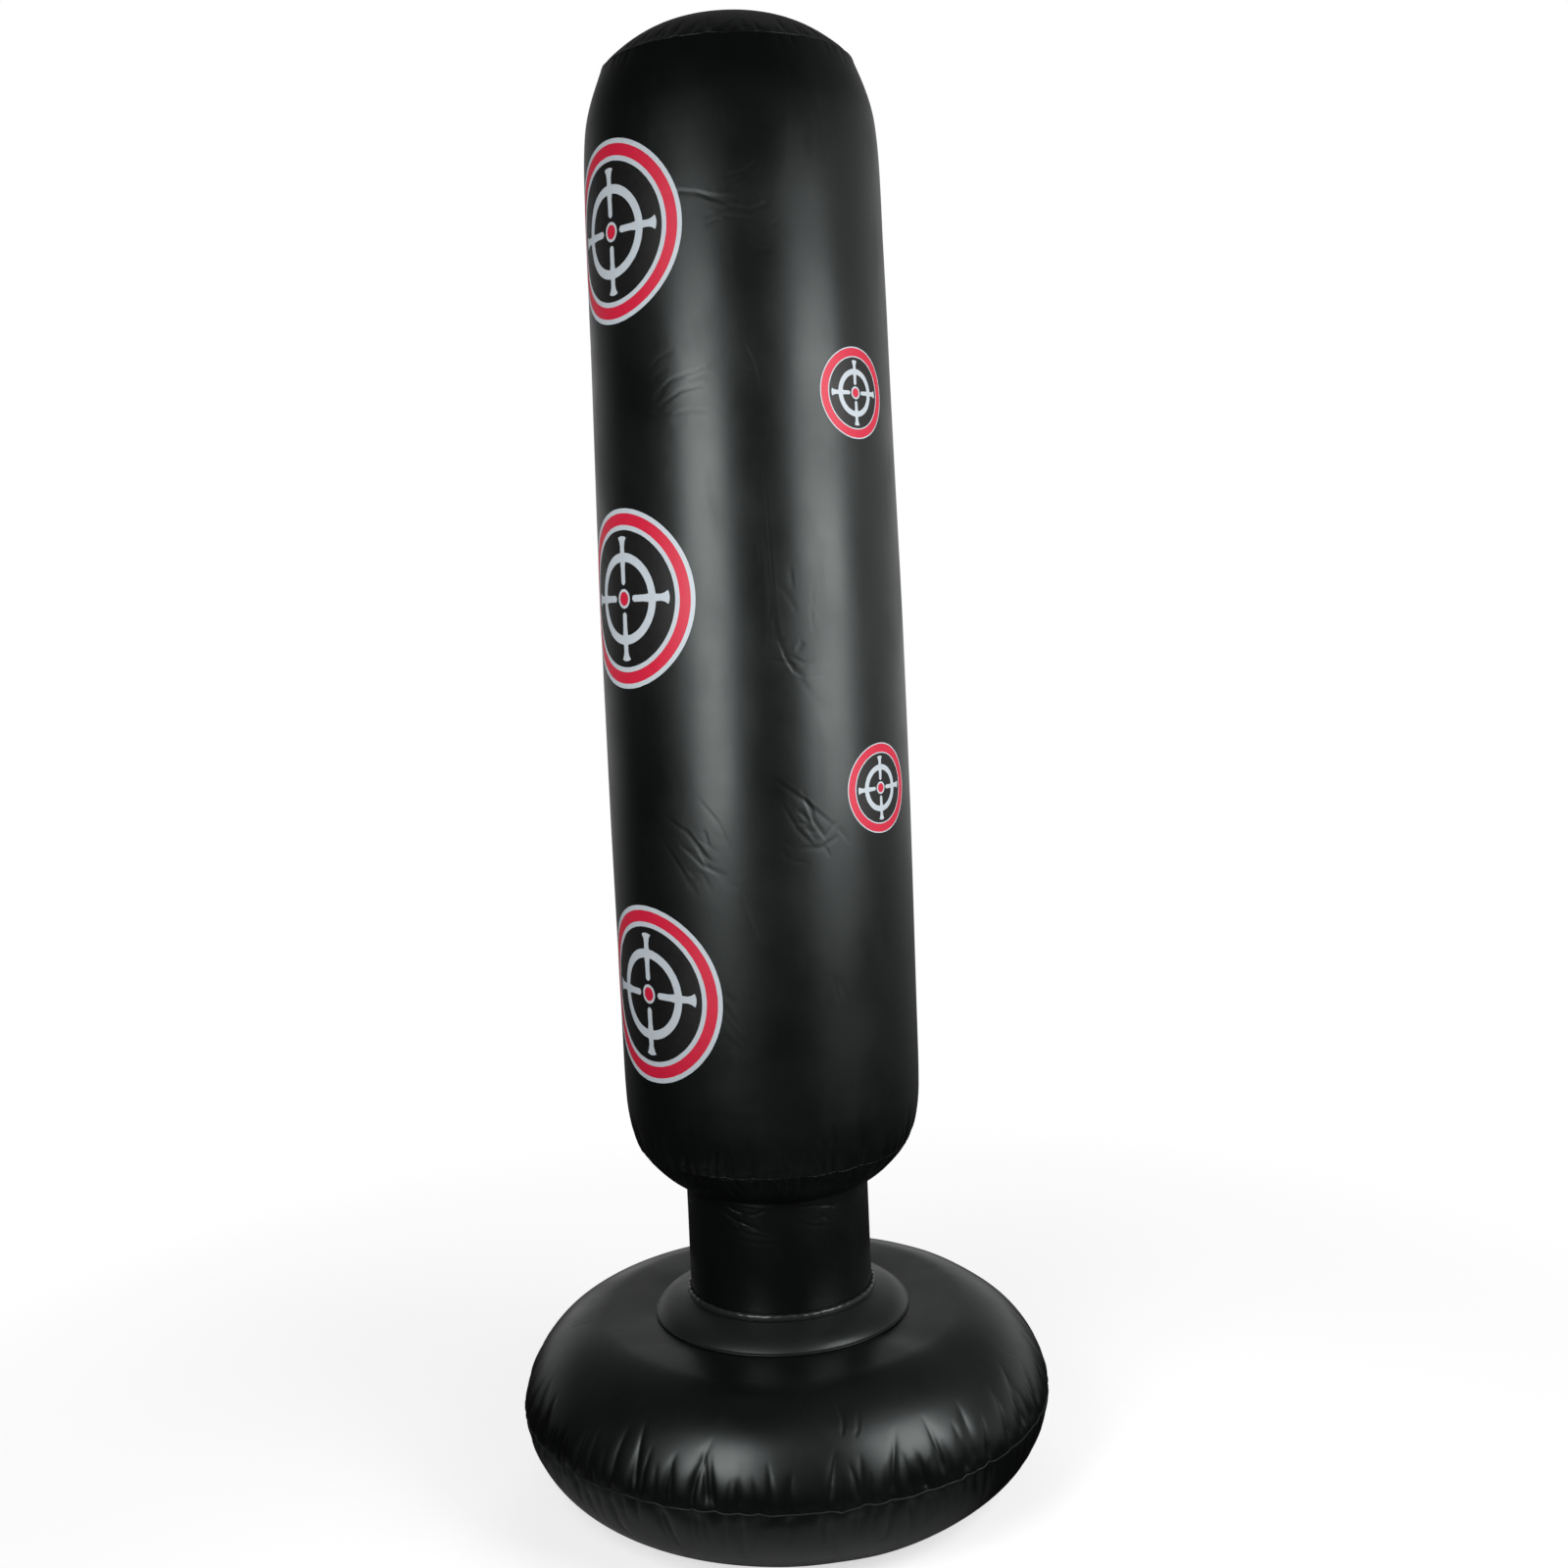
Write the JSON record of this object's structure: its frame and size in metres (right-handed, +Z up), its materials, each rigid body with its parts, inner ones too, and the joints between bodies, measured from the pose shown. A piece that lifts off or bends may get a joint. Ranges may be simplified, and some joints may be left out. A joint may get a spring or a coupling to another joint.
{
  "type": "free standing punching bag",
  "caption": "Inflatable free-standing punching tower: tall black air column with printed targets on a soft neck, above a wide water-filled base.",
  "frame": {"origin": "centre of the base's underside, on the floor", "axes": "+Z up along the column, +Y towards the back, where both valves are, +X to the right seen from the front"},
  "size_m": [0.5522, 0.5522, 1.517],
  "materials": {
    "pvc_film": "satin soft PVC sheet",
    "pvc_collar": "matte soft PVC sheet",
    "weld_bead": "glossy weld bead",
    "valve_plastic": "moulded soft PVC",
    "valve_rubber": "matte rubber",
    "print_black": "matte screen print on the column",
    "print_red": "matte screen print on the column",
    "print_light": "matte screen print on the column",
    "ballast_water": "water, not seen from outside"
  },
  "bodies": {
    "base": {"base_top_panel": "pvc_film", "base_bottom_panel": "pvc_film", "neck_collar": "pvc_collar", "neck_weld_bead": "weld_bead", "core_sleeve": "pvc_film", "water_fill": "ballast_water", "fill_valve_seat": "valve_plastic"},
    "neck": {"neck_tube": "pvc_film"},
    "column": {"column_wall_panel": "pvc_film", "column_top_panel": "pvc_film", "column_bottom_panel": "pvc_film", "air_valve_flange": "valve_plastic"},
    "air_stem": {"air_valve_stem": "valve_plastic", "air_plug_strap": "valve_plastic"},
    "air_flap": {"air_check_flap": "valve_rubber"},
    "air_plug": {"air_valve_plug": "valve_plastic"},
    "fill_ring": {"fill_valve_tether": "valve_rubber"},
    "fill_body": {"fill_valve_body": "valve_plastic", "fill_valve_seal": "valve_rubber", "fill_cap_strap": "valve_plastic"},
    "fill_diaphragm": {"fill_valve_diaphragm": "valve_rubber"},
    "fill_cap": {"fill_valve_cap": "valve_plastic"}
  },
  "joints": [
    {"name": "sway_forward", "type": "hinge", "parent": "base", "child": "neck", "pos_m": [0, 0, 0.235], "axis": [1, 0, 0], "range_deg": [-30, 30], "stiffness_Nm_per_rad": 40, "deforming": ["neck_tube"]},
    {"name": "sway_sideways", "type": "hinge", "parent": "neck", "child": "column", "pos_m": [0, 0, 0.275], "axis": [0, 1, 0], "range_deg": [-30, 30], "stiffness_Nm_per_rad": 40, "deforming": ["neck_tube"]},
    {"name": "air_stem_press", "type": "slide", "parent": "column", "child": "air_stem", "axis": [0, 1, 0], "range_m": [-0.0085, 0]},
    {"name": "air_flap_open", "type": "hinge", "parent": "air_stem", "child": "air_flap", "pos_m": [0.0052, 0.13923, 0.7], "axis": [0, 0, 1], "range_deg": [0, 60], "stiffness_Nm_per_rad": 0.0001},
    {"name": "air_plug_pull", "type": "slide", "parent": "air_stem", "child": "air_plug", "axis": [0, 1, 0], "range_m": [0, 0.015], "deforming": ["air_plug_strap"]},
    {"name": "fill_lift", "type": "slide", "parent": "base", "child": "fill_ring", "axis": [0, 0, 1], "range_m": [0, 0.0062], "deforming": ["fill_valve_tether"]},
    {"name": "fill_unscrew", "type": "hinge", "parent": "fill_ring", "child": "fill_body", "pos_m": [0, 0.187, 0.174], "axis": [0, 0, 1], "range_deg": [0, 720]},
    {"name": "fill_diaphragm_open", "type": "slide", "parent": "fill_body", "child": "fill_diaphragm", "axis": [0, 0, 1], "range_m": [-0.002, 0], "stiffness_N_per_m": 15},
    {"name": "fill_cap_pull", "type": "slide", "parent": "fill_body", "child": "fill_cap", "axis": [0, 0, 1], "range_m": [0, 0.012], "deforming": ["fill_cap_strap"]}
  ],
  "couplings": [
    {"joint": "fill_lift", "follows": "fill_unscrew", "m_per_rad": 0.00047746}
  ]
}
